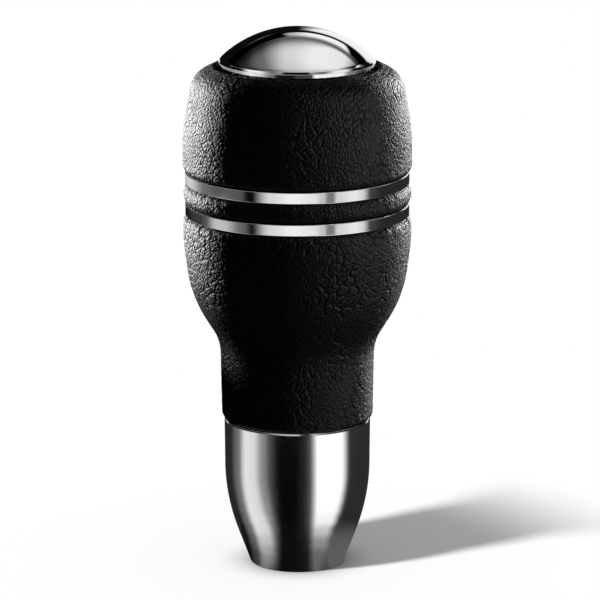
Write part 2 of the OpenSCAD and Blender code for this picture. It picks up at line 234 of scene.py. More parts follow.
class Graph:
    """A node tree that is filled with one method."""

    def __init__(self, tree):
        self.tree = tree

    def node(self, kind, settings=None, inputs=None, out=0):
        """Adds a node of a type: its settings are set first, then the values or links of its sockets."""
        made = self.tree.nodes.new(kind)
        for name, value in (settings or {}).items():
            setattr(made, name, value)
        for key, value in (inputs or {}).items():
            socket = self.find(made.inputs, key)
            if isinstance(value, Value):
                self.tree.links.new(value.socket, socket)
            else:
                socket.default_value = value
        outputs = self.find(made.outputs, out)
        return Value(self, outputs) if outputs else made

    @staticmethod
    def find(sockets, key):
        if isinstance(key, int):
            shown = [s for s in sockets if s.enabled]
            return shown[key] if key < len(shown) else None
        return next(s for s in sockets if s.enabled and key in (s.name, s.identifier))

    def step(self, value, low, high):
        """0 below low and 1 above high, with a smooth rise between them."""
        return self.node("ShaderNodeMapRange", {"interpolation_type": "SMOOTHSTEP"},
                         {"Value": value, "From Min": low, "From Max": high, "To Min": 0.0, "To Max": 1.0})

    def window(self, value, low, high, soft):
        """1 between low and high, with soft ends."""
        return self.step(value, low - soft, low + soft) * (1 - self.step(value, high - soft, high + soft))

    def bell(self, value, width):
        """1 where the value is 0, falling off over the width."""
        scaled = value / width
        return (-(scaled * scaled)).math("EXPONENT")

    def split(self, vector):
        made = self.node("ShaderNodeSeparateXYZ", None, {0: vector})
        outputs = made.socket.node.outputs
        return [Value(self, outputs[i]) for i in range(3)]

    def join(self, x=0.0, y=0.0, z=0.0):
        return self.node("ShaderNodeCombineXYZ", None, {0: x, 1: y, 2: z})

    def vector(self, operation, *values):
        return self.node("ShaderNodeVectorMath", {"operation": operation}, dict(enumerate(values)))

    def noise(self, vector, scale, detail=2.0, out=0, dimensions="3D", roughness=0.5):
        return self.node("ShaderNodeTexNoise", {"noise_dimensions": dimensions},
                         {"Vector": vector, "Scale": scale, "Detail": detail, "Roughness": roughness}, out)

    def hide_noise(self, hide, size_mm, detail, out=0):
        """Noise over the hide, whose lumps have a size in millimetres."""
        return self.noise(hide, HIDE_MM / size_mm, detail, out, "2D")


def crease_net(graph, hide, length_mm, width_mm, slant, stray_mm, offset):
    """How far a point of the hide is from the nearest crease, in cells. The creases run along a slant."""
    stray = graph.hide_noise(hide, 2.2 * length_mm, 2.0, out="Color")
    stray = graph.vector("SUBTRACT", stray, (0.5, 0.5, 0.5))
    stray = graph.node("ShaderNodeVectorMath", {"operation": "SCALE"},
                       {0: stray, "Scale": 2 * stray_mm / HIDE_MM})
    moved = graph.vector("ADD", graph.vector("ADD", hide, stray), (offset, offset, 0.0))
    u, v, _ = graph.split(moved)
    c, s = math.cos(slant), math.sin(slant)
    lengthwise = (u * c + v * s) * (HIDE_MM / length_mm)
    across = (v * c - u * s) * (HIDE_MM / width_mm)
    return graph.node("ShaderNodeTexVoronoi", {"voronoi_dimensions": "2D", "feature": "DISTANCE_TO_EDGE"},
                      {"Vector": graph.join(lengthwise, across), "Scale": 1.0})


# The wraps' relief and their finish share these maps of the hide, so that both show the same pebbles and folds

def pebble_net(graph, hide):
    return crease_net(graph, hide, 1.15, 0.72, math.radians(56), 0.45, 0.13)


def fold_net(graph, hide):
    return crease_net(graph, hide, 2.7, 1.55, math.radians(32), 0.8, 0.37)


def soft_patches(graph, hide):
    return graph.hide_noise(hide, 9.0, 3.0)


# Finishes

def finish(name):
    """A material with an empty node tree, and the graph that fills it."""
    material = bpy.data.materials.new(name)
    material.use_nodes = True
    material.node_tree.nodes.clear()
    return material, Graph(material.node_tree)


def surface(graph, constants, links):
    """The Principled shader, with its constants on its own sockets and what varies over the surface linked."""
    shader = graph.node("ShaderNodeBsdfPrincipled", None, {**constants, **links})
    graph.node("ShaderNodeOutputMaterial", None, {"Surface": shader})


def bump(graph, height, depth_mm):
    return graph.node("ShaderNodeBump", None, {"Height": height, "Distance": depth_mm * MM, "Strength": 1.0})


def object_coords(graph):
    return graph.node("ShaderNodeTexCoord", None, None, out="Object")


def shade(graph, dark, light, factor):
    """A colour between two, by a factor."""
    return graph.node("ShaderNodeMix", {"data_type": "RGBA"},
                      {"Factor": factor, "A": (*dark, 1.0), "B": (*light, 1.0)}, out="Result")


def fine_black_leather():
    """Pebbled hide: tiny domes between fine valleys, longer soft folds over them, and a worn gloss on their tops."""
    material, g = finish("fine_black_leather")
    hide = g.node("ShaderNodeUVMap", {"uv_map": "hide"})
    patches = soft_patches(g, hide)
    pebble_top = g.step(pebble_net(g, hide), 0.0, 0.4)
    grain = g.step(crease_net(g, hide, 0.62, 0.42, math.radians(50), 0.15, 0.7), 0.0, 0.35)
    fold = (1 - g.step(fold_net(g, hide), 0.0, 0.16)) * g.step(patches, 0.4, 0.62)
    pores = g.hide_noise(hide, 0.22, 2.0)
    lumps = g.hide_noise(hide, 1.7, 1.0)
    height = pebble_top * 0.5 + grain * 0.25 - fold * 0.8 + pores * 0.3 + lumps * 0.3
    rubbed = g.step(patches, 0.35, 0.7)
    colour = shade(g, (0.0010, 0.0010, 0.0011), (0.0030, 0.0029, 0.0031), pebble_top * (0.55 + 0.45 * rubbed))
    roughness = 0.62 - 0.06 * pebble_top - 0.03 * rubbed + 0.06 * fold
    surface(g, {"Specular IOR Level": 0.5, "IOR": 1.5},
            {"Base Color": colour, "Roughness": roughness, "Normal": bump(g, height, 0.14)})
    return material


def twisted_thread():
    """Waxed thread, with the slanting ply of its twist."""
    material, g = finish("black_sewing_thread")
    x, _, z = g.split(object_coords(g))
    twist = ((x + z) * (FULL_TURN / (0.34 * MM))).math("SINE") * 0.5 + 0.5
    fuzz = g.noise(object_coords(g), 9000.0, 2.0)
    colour = shade(g, (0.006, 0.006, 0.006), (0.028, 0.027, 0.027), twist * 0.7 + fuzz * 0.3)
    surface(g, {"Specular IOR Level": 0.3},
            {"Base Color": colour, "Roughness": 0.55 + 0.15 * fuzz, "Normal": bump(g, twist + fuzz * 0.5, 0.04)})
    return material


def polished_chrome():
    """Bright plating, with faint smudges, dust and the slow waves of its polish."""
    material, g = finish("polished_chrome")
    spot = object_coords(g)
    smudge = g.noise(spot, 90.0, 4.0)
    waves = g.noise(spot, 210.0, 1.0)
    dust = g.noise(spot, 6000.0, 1.0)
    colour = shade(g, (0.80, 0.81, 0.83), (0.86, 0.87, 0.885), smudge)
    roughness = 0.025 + 0.04 * g.step(smudge, 0.5, 0.75) + 0.015 * dust
    surface(g, {"Metallic": 1.0}, {"Base Color": colour, "Roughness": roughness, "Normal": bump(g, waves, 0.012)})
    return material


def satin_aluminium():
    """Finely turned aluminium, a little duller where it is handled."""
    material, g = finish("satin_aluminium")
    spot = object_coords(g)
    x, y, z = g.split(spot)
    tool_lines = g.noise(g.join(x * 10.0, y * 10.0, z * 4200.0), 1.0, 2.0, roughness=0.6)
    handled = g.noise(spot, 70.0, 3.0)
    colour = shade(g, (0.79, 0.79, 0.805), (0.85, 0.85, 0.865), tool_lines)
    roughness = 0.1 + 0.03 * tool_lines + 0.03 * handled
    surface(g, {"Metallic": 1.0, "Anisotropic": 0.2},
            {"Base Color": colour, "Roughness": roughness, "Normal": bump(g, tool_lines, 0.0008)})
    return material


def turned_metal(name, dark, light, roughness, line_mm, metallic=1.0):
    """Metal with the fine rings that a lathe tool leaves round the knob's axis."""
    material, g = finish(name)
    spot = object_coords(g)
    x, y, z = g.split(spot)
    radius = (x * x + y * y).math("SQRT")
    rings = g.noise(g.join(x * 9.0, y * 9.0, (z + radius * 0.8) * (1.0 / (line_mm * MM))), 1.0, 2.0)
    stain = g.noise(spot, 220.0, 4.0)
    colour = shade(g, dark, light, rings * 0.6 + stain * 0.4)
    surface(g, {"Metallic": metallic},
            {"Base Color": colour, "Roughness": roughness + 0.12 * (stain - 0.5) + 0.08 * rings,
             "Normal": bump(g, rings, 0.01)})
    return material


def moulded(name, dark, light, roughness, grain_mm, depth_mm):
    """Moulded plastic or rubber, with the even grain of its mould and faint flow marks."""
    material, g = finish(name)
    spot = object_coords(g)
    grain = g.noise(spot, 1.0 / (grain_mm * MM), 3.0)
    flow = g.noise(spot, 60.0, 4.0)
    colour = shade(g, dark, light, flow * 0.7 + grain * 0.3)
    surface(g, {"Specular IOR Level": 0.4},
            {"Base Color": colour, "Roughness": roughness + 0.12 * (grain - 0.5) + 0.06 * (flow - 0.5),
             "Normal": bump(g, grain, depth_mm)})
    return material


LEATHER = fine_black_leather()
THREAD = twisted_thread()
CHROME = polished_chrome()
ALUMINIUM = satin_aluminium()
STEEL = turned_metal("turned_steel", (0.50, 0.51, 0.53), (0.66, 0.67, 0.69), 0.27, 0.22)
BLACK_OXIDE = turned_metal("black_oxide_steel", (0.06, 0.06, 0.065), (0.12, 0.12, 0.13), 0.36, 0.15, 0.9)
ZINC = turned_metal("zinc_plated_steel", (0.58, 0.60, 0.63), (0.76, 0.77, 0.78), 0.3, 0.3)
NYLON = moulded("bush_nylon", (0.04, 0.04, 0.043), (0.062, 0.062, 0.066), 0.46, 0.5, 0.01)
MOULDING = moulded("moulding_plastic", (0.055, 0.055, 0.058), (0.085, 0.085, 0.09), 0.55, 0.35, 0.02)
RUBBER = moulded("seal_rubber", (0.022, 0.022, 0.022), (0.036, 0.036, 0.035), 0.72, 0.2, 0.012)

for names, material in (
        (("collar_o_ring",), RUBBER),
        (("spindle",), STEEL),
        (("lever_bush",), NYLON),
        (("set_screw_1", "set_screw_2", "set_screw_3"), BLACK_OXIDE),
        (("lower_grip", "middle_spool", "upper_grip"), MOULDING),
        (("flat_washer", "spring_washer", "clamp_nut", "cap_stud"), ZINC)):
    for name in names:
        nodes[name].data.materials.clear()
        nodes[name].data.materials.append(material)


# Shapes made by Geometry Nodes

def shape_tree(name, sizes):
    """A Geometry Nodes tree with named inputs for its sizes, its graph, and its inputs as values."""
    tree = bpy.data.node_groups.new(name, "GeometryNodeTree")
    tree.interface.new_socket("Geometry", in_out="INPUT", socket_type="NodeSocketGeometry")
    for size, kind in sizes:
        tree.interface.new_socket(size, in_out="INPUT", socket_type=kind)
    tree.interface.new_socket("Geometry", in_out="OUTPUT", socket_type="NodeSocketGeometry")
    graph = Graph(tree)
    start = tree.nodes.new("NodeGroupInput")
    given = {s.name: Value(graph, s) for s in start.outputs if s.name}
    return tree, graph, given


def close_tree(graph, geometry, given):
    """Ends a tree in Realize Instances and Set Material."""
    real = graph.node("GeometryNodeRealizeInstances", None, {0: geometry})
    done = graph.node("GeometryNodeSetMaterial", None, {"Geometry": real, "Material": given["Material"]})
    graph.node("NodeGroupOutput", None, {0: done})


def grown(source, tree, values):
    """Runs a tree on a source object and leaves its result as the object's plain mesh, without the modifier."""
    modifier = source.modifiers.new("shape", "NODES")
    modifier.node_group = tree
    for item in tree.interface.items_tree:
        if item.in_out == "INPUT" and item.name in values:
            modifier[item.identifier] = values[item.name]
    graph = bpy.context.evaluated_depsgraph_get()
    mesh = bpy.data.meshes.new_from_object(source.evaluated_get(graph), preserve_all_data_layers=True,
                                           depsgraph=graph)
    source.modifiers.remove(modifier)
    old = source.data
    source.data = mesh
    mesh.name = source.name
    bpy.data.meshes.remove(old)
    mesh.polygons.foreach_set("use_smooth", [True] * len(mesh.polygons))
    return source


def named(graph, name, kind="FLOAT"):
    return graph.node("GeometryNodeInputNamedAttribute", {"data_type": kind}, {"Name": name})


# What a wrap's relief is given besides its length round the knob
RELIEF_SIZES = ("Crease Depth", "Pebble Depth", "Swell", "Foot Gathers", "Foot Reach", "Head Gathers", "Head Reach")


def wrap_relief(g, given, hide, around, from_foot, from_head, free):
    """Height of a wrap's outer face over its outline, in metres: creases, gathers at both ends, and the back seam."""
    fold = 1 - g.step(fold_net(g, hide), 0.0, 0.17)
    creases = (0.35 + 0.65 * g.step(soft_patches(g, hide), 0.42, 0.62)) * fold * given["Crease Depth"]
    worn = g.step(g.hide_noise(hide, 5.0, 2.0), 0.36, 0.62)
    pebbles = (g.step(pebble_net(g, hide), 0.0, 0.45) - 1) * (0.45 + 0.55 * worn) * given["Pebble Depth"]
    swell = (g.hide_noise(hide, 14.0, 2.0) - 0.5) * given["Swell"]
    u, v, _ = g.split(hide)
    gathers = 0.0
    for end, distance, pitch, offset in (("Foot", from_foot, 1.5, 3.0), ("Head", from_head, 1.25, 11.0)):
        row = g.noise(g.join(u * (HIDE_MM / pitch), v * (HIDE_MM / 14.0), offset), 1.0, 1.5)
        near_end = g.bell(distance.math("MAXIMUM", 0.0), given[end + " Reach"])
        gathers = gathers + near_end * (row - 0.62) * given[end + " Gathers"]
    seam = (0.5 - (around - 0.5).math("ABSOLUTE")) * given["Wrap Round"]
    off_seam = g.step(seam, 0.5 * MM, 2.2 * MM)
    stitch_row = (v * (HIDE_MM * FULL_TURN / STITCH_PITCH)).math("COSINE") * 0.5 + 0.5
    pucker = stitch_row * g.bell(seam - 1.3 * MM, 0.45 * MM) * (0.16 * MM)
    hem = g.bell(seam - 1.25 * MM, 0.7 * MM) * (0.16 * MM)
    slit = g.bell(seam, 0.42 * MM) * (0.5 * MM)
    return ((gathers + swell + pebbles - creases) * off_seam + hem - slit - pucker) * free


# Keeps the quotient of two whole numbers on the right side of a whole number
ROUNDING_GUARD = 1e-5


def turned_tree(wrapped):
    """Turns an outline round the knob's axis. A wrapped piece also gets its hide map and the leather's relief."""
    sizes = [("Segments", "NodeSocketInt"), ("Material", "NodeSocketMaterial")]
    if wrapped:
        sizes += [(size, "NodeSocketFloat") for size in ("Wrap Round", *RELIEF_SIZES)]
    tree, g, given = shape_tree("wrapped_piece" if wrapped else "turned_piece", sizes)
    outline = given["Geometry"]
    count = g.node("GeometryNodeAttributeDomainSize", None, {"Geometry": outline}, out="Point Count")
    columns = given["Segments"] + 1
    grid = g.node("GeometryNodeMeshGrid", None,
                  {"Size X": 1.0, "Size Y": 1.0, "Vertices X": count, "Vertices Y": columns}, out="Mesh")
    index = g.node("GeometryNodeInputIndex")
    row = (index / columns + ROUNDING_GUARD).math("FLOOR")
    column = index - row * columns
    around = 1 - column / given["Segments"]

    def of_outline(value, kind="FLOAT"):
        return g.node("GeometryNodeSampleIndex", {"data_type": kind, "domain": "POINT"},
                      {"Geometry": outline, "Value": value, "Index": row})

    profile = of_outline(g.node("GeometryNodeInputPosition"), "FLOAT_VECTOR")
    if wrapped:
        from_foot, from_head = of_outline(named(g, "from_foot")), of_outline(named(g, "from_head"))
        free, facing = of_outline(named(g, "free")), of_outline(named(g, "facing", "FLOAT_VECTOR"), "FLOAT_VECTOR")
        hide = g.join(around * given["Wrap Round"] / (HIDE_MM * MM), from_foot / (HIDE_MM * MM) + HIDE_MARGIN)
        relief = wrap_relief(g, given, hide, around, from_foot, from_head, free)
        lift = g.node("ShaderNodeVectorMath", {"operation": "SCALE"}, {0: facing, "Scale": relief})
        profile = g.vector("ADD", profile, lift)
    radius, _, height = g.split(profile)
    angle = around * FULL_TURN + math.pi / 2
    spot = g.join(radius * angle.math("COSINE"), radius * angle.math("SINE"), height)
    if wrapped:
        placed = grid
        for name, value in (("hide_at_point", hide), ("spot", spot)):
            placed = g.node("GeometryNodeStoreNamedAttribute", {"data_type": "FLOAT_VECTOR", "domain": "POINT"},
                            {"Geometry": placed, "Name": name, "Value": value})
        placed = g.node("GeometryNodeSetPosition", None,
                        {"Geometry": placed, "Position": named(g, "spot", "FLOAT_VECTOR")})
        placed = g.node("GeometryNodeStoreNamedAttribute", {"data_type": "FLOAT2", "domain": "CORNER"},
                        {"Geometry": placed, "Name": "hide", "Value": named(g, "hide_at_point", "FLOAT_VECTOR")})
        for name in ("hide_at_point", "spot"):
            placed = g.node("GeometryNodeRemoveAttribute", None, {"Geometry": placed, "Name": name})
    else:
        placed = g.node("GeometryNodeSetPosition", None, {"Geometry": grid, "Position": spot})
    merged = g.node("GeometryNodeMergeByDistance", None, {"Geometry": placed, "Distance": 2e-6})
    close_tree(g, merged, given)
    return tree


TURNED = turned_tree(False)
WRAPPED = turned_tree(True)


def outline_object(name, path):
    """A closed outline in the X-Z plane that a tree turns. It runs up on its outer side."""
    points = [(p[0] * MM, 0.0, p[1] * MM) for p in [*path, path[0]]]
    mesh = bpy.data.meshes.new(name)
    mesh.from_pydata(points, [(i, i + 1) for i in range(len(points) - 1)], [])
    made = bpy.data.objects.new(name, mesh)
    scene.collection.objects.link(made)
    return made


def turned(name, path, material, segments=288):
    return grown(outline_object(name, path), TURNED, {"Segments": segments, "Material": material})


def place(piece, body, slot_name, *replaced):
    """Puts a finished piece on its body in place of its CAD nodes, which it hides. Its slot name is not used."""
    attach(piece, body)
    if replaced:
        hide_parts(*replaced)
    return piece


# Plated rings

def plated_ring(name, z):
    path = rounded([
        [RING_BORE_R, z, 0], [RING_R - RING_BEVEL, z, 0.08], [RING_R, z + RING_BEVEL, 0.08],
        [RING_R, z + RING_H - RING_BEVEL, 0.08], [RING_R - RING_BEVEL, z + RING_H, 0.08],
        [RING_BORE_R, z + RING_H, 0]], 6.0)
    return place(turned(name + "_plated", held(path), CHROME), "knob", "polished_chrome", name)


plated_ring("lower_ring", LOWER_RING_Z)
plated_ring("upper_ring", UPPER_RING_Z)


# Domed cap with its inner wall and the boss for its stud

def dome_arc(r, start, end, n):
    """Points of a sphere round the dome's centre, between two distances from the axis."""
    angles = np.linspace(math.asin(start / r), math.asin(end / r), n + 1)
    return [np.array([r * math.sin(a), DOME_TOP_Z - DOME_SPHERE_R + r * math.cos(a)]) for a in angles]


def domed_cap():
    """The cap, closed round its outside, its inner wall and the boss with the stud's hole."""
    chamfer_in = 1.2 * RIM_CHAMFER * math.tan(math.radians(22.5))
    chamfer_top = RIM_Z + 0.1
    boss_r, hole_r = STUD_R + BOSS_WALL, STUD_R + STUD_GAP
    skirt_in_r = DOME_R - CAP_T
    outside = held(rounded([
        [skirt_in_r, LEDGE_Z, 0], [DOME_R, LEDGE_Z, 0.15], [DOME_R, RIM_Z - RIM_CHAMFER, 0.1],
        [DOME_R - chamfer_in, chamfer_top, 0.1], [DOME_R - 1.0, chamfer_top + 0.75, 0]], 6.0)[:-1])
    dome = dome_arc(DOME_SPHERE_R, DOME_R - chamfer_in - 0.25, 0.0, 72)
    inside = dome_arc(DOME_SPHERE_R - CAP_T, boss_r, skirt_in_r, 14)
    hole = [np.array(p) for p in (
        (0.0, STUD_HOLE_TOP_Z), (hole_r, STUD_HOLE_TOP_Z), (hole_r, BOSS_Z), (boss_r, BOSS_Z))]
    return place(turned("cap_dome_polished", outside + dome + hole + inside, CHROME, 360), "knob",
                 "polished_chrome", "cap_dome")


domed_cap()


# Satin collar

def satin_collar():
    groove_z = COLLAR_H - GROOVE_W
    slope = (COLLAR_BELLY_R - FOOT_R) / COLLAR_BELLY_H
    cone_wall = COLLAR_WALL / math.cos(math.atan(slope))
    outside = held(rounded([
        [MOUTH_R, 0, 0], [MOUTH_R + 0.35, 0, 0], [FOOT_R, 0, 0.5], [COLLAR_BELLY_R, COLLAR_BELLY_H, 46.0],
        [COLLAR_TOP_R, COLLAR_H - 1.4 * COLLAR_CHAMFER, 0.1],
        [COLLAR_TOP_R - 0.4 * COLLAR_CHAMFER, COLLAR_H - 0.3 * COLLAR_CHAMFER, 0.1],
        [COLLAR_TOP_R - COLLAR_CHAMFER, COLLAR_H, 0.1],
        [GROOVE_IN_R + GROOVE_W, COLLAR_H, 0.05], [GROOVE_IN_R + GROOVE_W, groove_z, 0.05],
        [GROOVE_IN_R, groove_z, 0.05], [GROOVE_IN_R, COLLAR_H, 0.05], [THREAD_BORE_R, COLLAR_H, 0]], 3.0))
    inside = rounded([
        [THREAD_BORE_R, THREAD_END_Z - 0.5, 0], [COLLAR_BELLY_R - COLLAR_WALL, THREAD_END_Z - 1, 0],
        [COLLAR_BELLY_R - COLLAR_WALL, COLLAR_BELLY_H - COLLAR_WALL * math.tan(math.atan(slope) / 2), 44.0],
        [FOOT_R + slope * FOOT_T - cone_wall, FOOT_T, 0], [MOUTH_R, FOOT_T, 0]], 12.0)
    return place(turned("collar_satin", outside + held(inside), ALUMINIUM, 256), "screw_collar",
                 "satin_aluminium", "collar")


satin_collar()


# Leather wraps

# A wrap's relief fades out in its tucks and is gone this far past its foot and its head, in millimetres
RELIEF_END = 1.6
RELIEF_FADE = 1.2
INNER_PITCH = 1.6
WRAP_SEGMENTS = 800


def wrap(name, corners, foot_corner, head_corner, pitch, relief):
    """A leather wrap: its outer face follows the outline's corners, its inner face runs one thickness inside.
    Returns the wrap and the outline of its back seam."""
    outer = rounded(corners)
    face = resampled(outer, pitch)
    inner = resampled(shifted(outer, LEATHER_T), INNER_PITCH)[::-1]
    lengths = np.concatenate([[0], np.cumsum(np.linalg.norm(np.diff(face, axis=0), axis=1))])
    spots = [min(range(len(face)), key=lambda i: np.linalg.norm(face[i] - np.array(corners[c][:2])))
             for c in (foot_corner, head_corner)]
    from_foot, from_head = lengths - lengths[spots[0]], lengths[spots[1]] - lengths
    free = np.clip((from_foot + RELIEF_END) / RELIEF_FADE, 0, 1) * np.clip((from_head + RELIEF_END) / RELIEF_FADE, 0, 1)
    last = len(face) - 1
    facing = np.array([-side(unit(face[min(i + 1, last)] - face[max(i - 1, 0)])) for i in range(len(face))])
    made = outline_object(name + "_wrap", face + inner)
    extra = len(inner) + 1
    for attribute, kind, values in (
            ("from_foot", "FLOAT", np.append(from_foot, [from_foot[-1]] * extra) * MM),
            ("from_head", "FLOAT", np.append(from_head, [from_head[-1]] * extra) * MM),
            ("free", "FLOAT", np.append(free, [0.0] * extra)),
            ("facing", "FLOAT_VECTOR", np.concatenate([
                np.stack([facing[:, 0], 0 * facing[:, 0], facing[:, 1]], axis=1), np.zeros((extra, 3))]))):
        layer = made.data.attributes.new(attribute, kind, "POINT")
        layer.data.foreach_set("vector" if kind == "FLOAT_VECTOR" else "value", np.ravel(values))
    sizes = {"Wrap Round": WRAP_ROUND * MM, **{size: depth * MM for size, depth in zip(RELIEF_SIZES, relief)}}
    grown(made, WRAPPED, {"Segments": WRAP_SEGMENTS, "Material": LEATHER, **sizes})
    place(made, "knob", "black_leather", name)
    return made, [p for p, a, b in zip(face, from_foot, from_head) if a > 0.9 and b > 0.9]


lip_corner_z = LIP_Z + LIP_ROUND * (math.tan((math.pi / 2 + SHOULDER_SLOPE) / 2) - 1)
shoulder_z = lip_corner_z - (SHOULDER_R - LIP_IN_R) * math.tan(SHOULDER_SLOPE)

lower_wrap, lower_seam = wrap("lower_leather", [
    [FLANGE_R + 0.1, LOWER_Z, 0], [NECK_FOOT_R, LOWER_Z, TUCK_ROUND], [NECK_R, LOWER_Z + NECK_H, NECK_ROUND],
    [LOWER_R - KNEE_IN, LOWER_Z + KNEE_H, KNEE_ROUND], [LOWER_R, LOWER_RING_Z - LOWER_STRAIGHT_H, BELLY_ROUND],
    [LOWER_R, LOWER_RING_Z, TUCK_ROUND], [LOWER_R - TUCK_W, LOWER_RING_Z, 0]],
    1, 5, 0.24, (0.12, 0.026, 0.12, 0.22, 3.2, 0.4, 1.7))
band_wrap, band_seam = wrap("middle_leather", [
    [BAND_IN_R, BAND_Z, 0], [BAND_R, BAND_Z, BAND_ROUND], [BAND_R, BAND_Z + BAND_H, BAND_ROUND],
    [BAND_IN_R, BAND_Z + BAND_H, 0]],
    1, 2, 0.22, (0.05, 0.07, 0.08, 0.3, 1.1, 0.3, 1.1))
upper_wrap, upper_seam = wrap("upper_leather", [
    [UPPER_R - TUCK_W, UPPER_Z, 0], [UPPER_R, UPPER_Z, TUCK_ROUND], [UPPER_R, UPPER_Z + UPPER_STRAIGHT_H, BELLY_ROUND],
    [SHOULDER_R, shoulder_z, SHOULDER_ROUND], [LIP_IN_R, lip_corner_z, LIP_ROUND], [LIP_IN_R, LEDGE_Z + 0.05, 0]],
    1, 4, 0.22, (0.05, 0.072, 0.1, 0.2, 1.3, 0.3, 2.2))


# Stitches down the back seam

def stitch_tree():
    """Sews a row of V-shaped stitches along the points of a seam, which runs down the back of the knob."""
    tree, g, given = shape_tree("back_stitches", [
        ("Pitch", "NodeSocketFloat"), ("Reach", "NodeSocketFloat"), ("Thread Radius", "NodeSocketFloat"),
        ("Material", "NodeSocketMaterial")])
    seam = g.node("GeometryNodeMeshToCurve", None, {0: given["Geometry"]})
    spaced = g.node("GeometryNodeResampleCurve", {"mode": "LENGTH"}, {"Curve": seam, "Length": given["Pitch"]})
    tangent = g.node("GeometryNodeInputTangent")
    _, ty, tz = g.split(tangent)
    tilt = tz.math("ARCTAN2", ty)
    legs = g.tree.nodes.new("GeometryNodeJoinGeometry")
    for way in (-1.0, 1.0):
        reach = given["Reach"] * way
        leg = g.node("GeometryNodeCurvePrimitiveBezierSegment", {"mode": "POSITION"},
                     {"Resolution": 7, "Start": g.join(reach, given["Pitch"] * -0.3, given["Thread Radius"] * -1.6),
                      "Start Handle": g.join(reach * 0.86, given["Pitch"] * -0.26, given["Thread Radius"] * 2.1),
                      "End Handle": g.join(reach * 0.3, given["Pitch"] * 0.34, given["Thread Radius"] * 1.2),
                      "End": g.join(reach * 0.02, given["Pitch"] * 0.42, given["Thread Radius"] * -2.4)})
        g.tree.links.new(leg.socket, legs.inputs[0])
    section = g.node("GeometryNodeCurvePrimitiveCircle", {"mode": "RADIUS"},
                     {"Resolution": 8, "Radius": given["Thread Radius"]})
    thread = g.node("GeometryNodeCurveToMesh", None,
                    {"Curve": Value(g, legs.outputs[0]), "Profile Curve": section, "Fill Caps": True})
    sewn = g.node("GeometryNodeInstanceOnPoints", None,
                  {"Points": spaced, "Instance": thread, "Rotation": g.join(tilt, 0.0, 0.0)})
    close_tree(g, sewn, given)
    return tree


STITCHES = stitch_tree()


def sew(name, seam):
    """A row of stitches along a wrap's back, from its head down to its foot."""
    mesh = bpy.data.meshes.new(name)
    mesh.from_pydata([(0.0, (r + 0.02) * MM, z * MM) for r, z in seam[::-1]],
                     [(i, i + 1) for i in range(len(seam) - 1)], [])
    made = bpy.data.objects.new(name, mesh)
    scene.collection.objects.link(made)
    grown(made, STITCHES, {"Pitch": STITCH_PITCH * MM, "Reach": STITCH_REACH * MM,
                           "Thread Radius": THREAD_THICKNESS / 2 * MM, "Material": THREAD})
    return place(made, "knob", "black_leather")


sew("lower_stitches", lower_seam)
sew("upper_stitches", upper_seam)
sew("band_stitches", band_seam)


# Floor, world and key light

def stage_mesh(name, points, faces, material):
    """A piece of the studio, in metres."""
    mesh = bpy.data.meshes.new(name)
    mesh.from_pydata(points, [], faces)
    mesh.materials.append(material)
    made = bpy.data.objects.new(name, mesh)
    scene.collection.objects.link(made)
    return made


def stage_plane(name, outline, z, material):
    return stage_mesh(name, [(x, y, z) for x, y in outline], [tuple(range(len(outline)))], material)


def hidden_from(made, *rays):
    """Hides a piece of the studio from some kinds of rays."""
    for ray in rays:
        setattr(made, "visible_" + ray, False)
    return made


def emitter(g, strength):
    return g.node("ShaderNodeEmission", None, {"Color": (1.0, 1.0, 1.0, 1.0), "Strength": strength})


def pale_floor():
    """The white floor, with painted shade and painted light: its colour darkens close to the knob by ambient occlusion,
    a painted contact shadow, and a little way out it turns into a white glow, as white as the world, which paints over
    the far end of its shadow.
    """
    material, g = finish("pale_floor")
    material.cycles.emission_sampling = "NONE"
    x, y, _ = g.split(object_coords(g))
    distance = (x * x + y * y).math("SQRT") * 1000.0
    open_sky = g.node("ShaderNodeAmbientOcclusion", {"samples": 16}, {"Distance": 0.01}, out="AO")
    # Painted contact shadow: the floor's colour darkens where ambient occlusion finds the knob close by
    paper_with_painted_shade = shade(g, (0.3, 0.3, 0.3), (0.92, 0.92, 0.92), g.step(open_sky, 0.0, 0.85))
    shader = g.node("ShaderNodeBsdfPrincipled", None,
                    {"Base Color": paper_with_painted_shade, "Roughness": 0.9, "Specular IOR Level": 0.0})
    # Painted light: from 40 to 85 mm out the floor fades into a white glow, which lifts its shadow to white
    mixed = g.node("ShaderNodeMixShader", None, {0: g.step(distance, 40.0, 85.0), 1: shader, 2: emitter(g, 1.0)})
    g.node("ShaderNodeOutputMaterial", None, {"Surface": mixed})
    return stage_plane("floor", [(-4, -4), (4, -4), (4, 4), (-4, 4)], -0.05 * MM, material)


pale_floor()


def plain_world():
    """White for what the camera and the reflections see, and a plain soft level for all else."""
    world = bpy.data.worlds.new("plain_studio")
    world.use_nodes = True
    world.node_tree.nodes.clear()
    g = Graph(world.node_tree)
    path = g.tree.nodes.new("ShaderNodeLightPath")
    seen = Value(g, path.outputs["Is Camera Ray"])
    for ray in ("Is Glossy Ray", "Is Transmission Ray"):
        seen = seen.math("MAXIMUM", Value(g, path.outputs[ray]))
    strength = WORLD_LEVEL + (1 - WORLD_LEVEL) * seen
    light = g.node("ShaderNodeBackground", None, {"Color": (1.0, 1.0, 1.0, 1.0), "Strength": strength})
    g.node("ShaderNodeOutputWorld", None, {"Surface": light})
    world.cycles.sampling_method = "NONE"
    scene.world = world


WORLD_LEVEL = 0.41
plain_world()


def lamp(name, kind, energy, place_m, aim_m, settings):
    """A lamp that points from its place at another one."""
    data = bpy.data.lights.new(name, kind)
    data.energy = energy
    for setting, value in settings.items():
        setattr(data, setting, value)
    made = bpy.data.objects.new(name, data)
    made.location = place_m
    made.rotation_euler = (Vector(place_m) - Vector(aim_m)).to_track_quat("Z", "Y").to_euler()
    scene.collection.objects.link(made)
    return made


